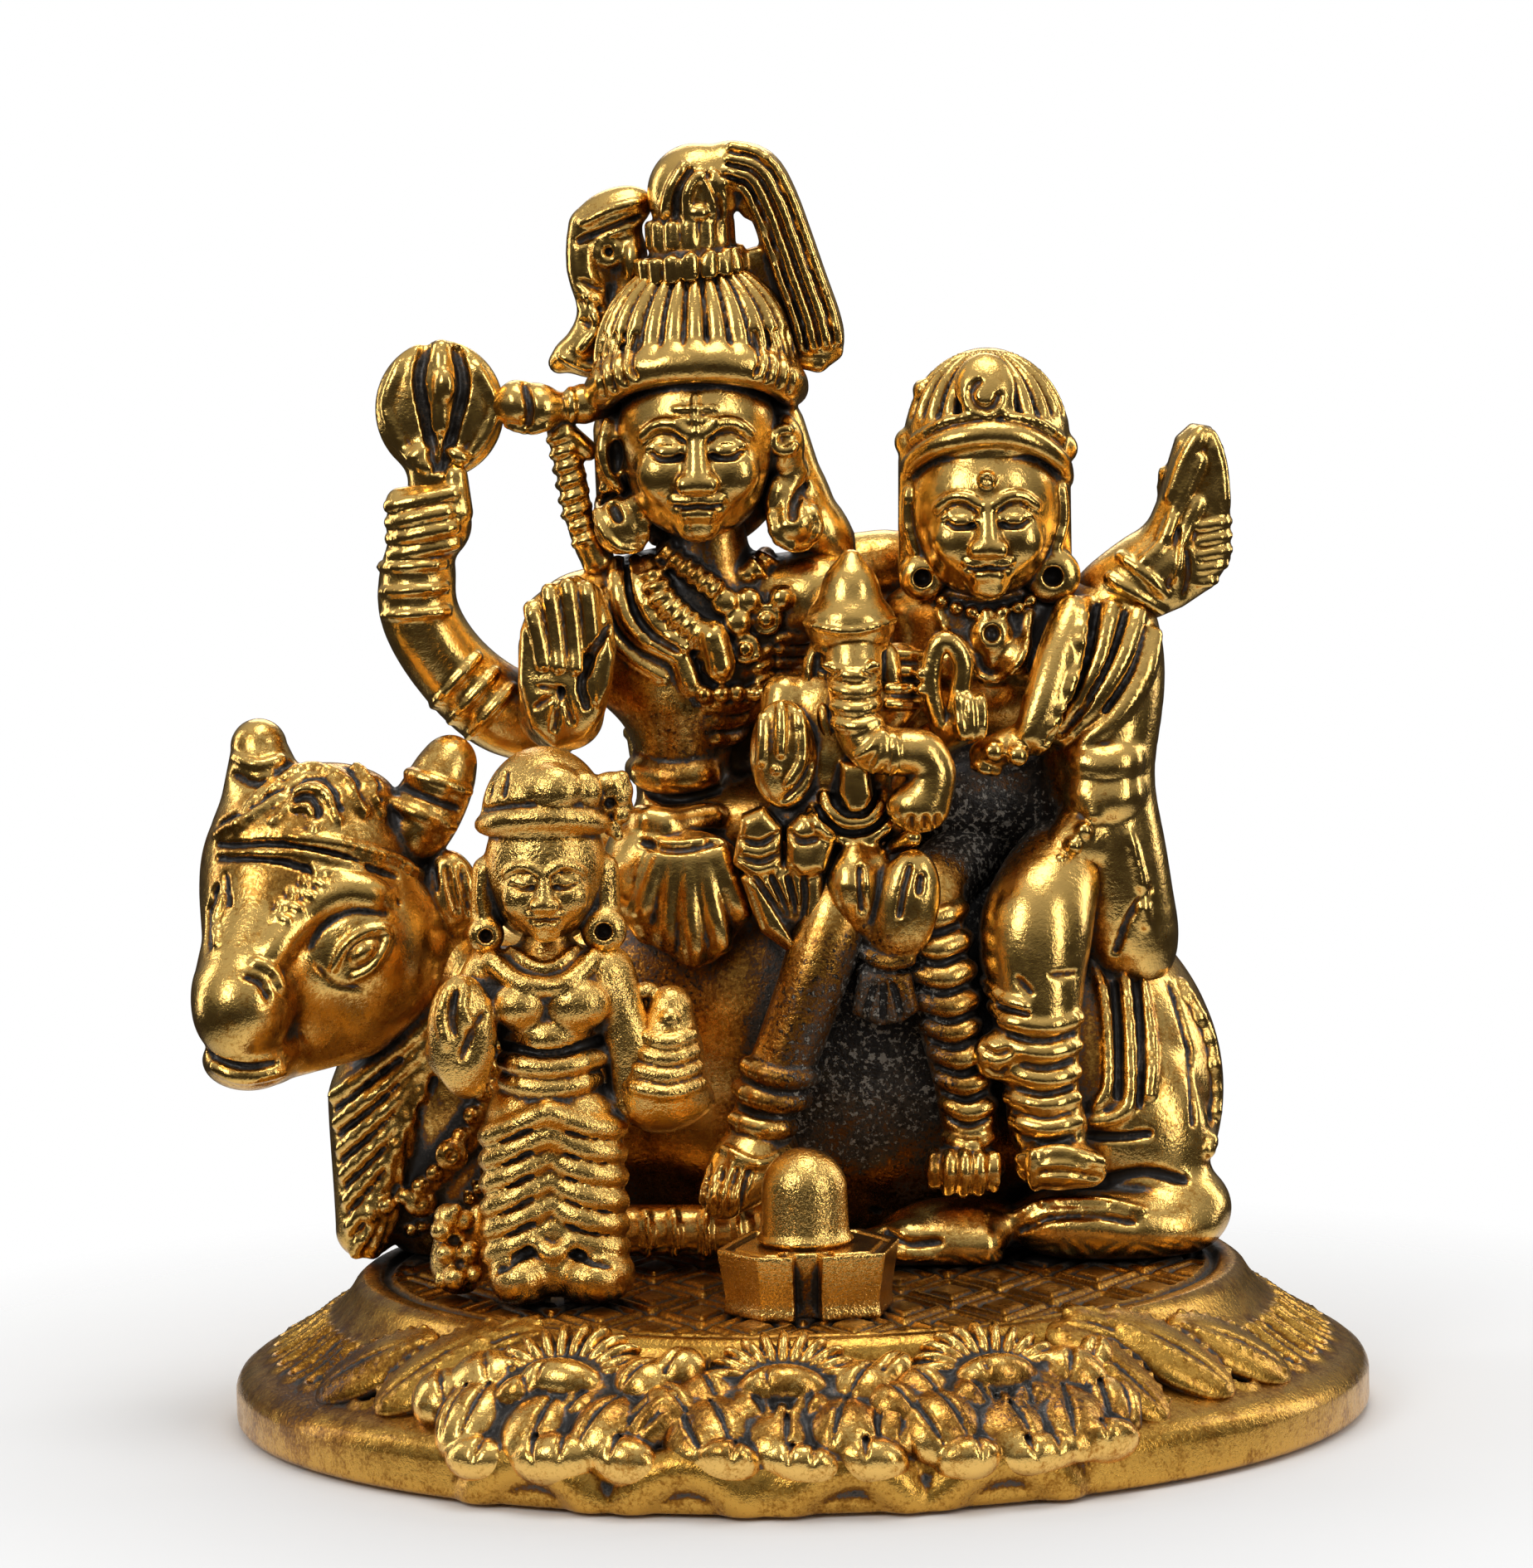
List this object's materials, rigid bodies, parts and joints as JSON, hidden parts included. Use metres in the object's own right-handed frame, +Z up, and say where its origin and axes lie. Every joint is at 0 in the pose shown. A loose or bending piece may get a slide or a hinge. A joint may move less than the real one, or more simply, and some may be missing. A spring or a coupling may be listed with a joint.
{
  "type": "figurine",
  "caption": "Cast brass table figure of a seated family group on a resting bull, on an oval lotus base, with a small domed stone on a pedestal in front.",
  "frame": {"origin": "centre of the bounding box at the underside of the base", "axes": "+Z up, the front of the group faces -Y, +X is to the right as seen from the front"},
  "size_m": [0.1012, 0.09, 0.1115],
  "materials": {
    "gold_brass": "bright antique gold, black patina in the recesses",
    "satin_brass": "satin, grainy as cast",
    "base_brass": "satin rim, dark recesses",
    "screw_steel": "plain zinc"
  },
  "bodies": {
    "root": {"pedestal_base": "base_brass", "lotus_bloom_center": "base_brass", "lotus_bloom_left": "base_brass", "lotus_bloom_right": "base_brass", "lotus_leaf_left": "base_brass", "lotus_leaf_right": "base_brass", "yoni_pedestal": "satin_brass", "lingam": "satin_brass", "kartikeya_body": "satin_brass", "kartikeya_head": "satin_brass", "kartikeya_mace": "satin_brass", "kartikeya_peacock": "satin_brass", "nandi_body": "gold_brass", "nandi_head": "gold_brass", "shiva_body": "gold_brass", "shiva_hanging_leg": "gold_brass", "shiva_head": "gold_brass", "shiva_topknot": "gold_brass", "shiva_front_arm": "gold_brass", "shiva_rear_arm": "gold_brass", "trident_head": "gold_brass", "damaru_drum": "gold_brass", "cobra": "gold_brass", "parvati_body": "gold_brass", "parvati_right_leg": "gold_brass", "parvati_left_leg": "gold_brass", "parvati_head": "gold_brass", "parvati_raised_arm": "gold_brass", "shiva_left_arm": "gold_brass", "ganesha_body": "gold_brass", "ganesha_head": "gold_brass", "screw_bull_front": "screw_steel", "screw_bull_rear": "screw_steel", "screw_son": "screw_steel", "screw_pedestal": "screw_steel"}
  },
  "joints": []
}
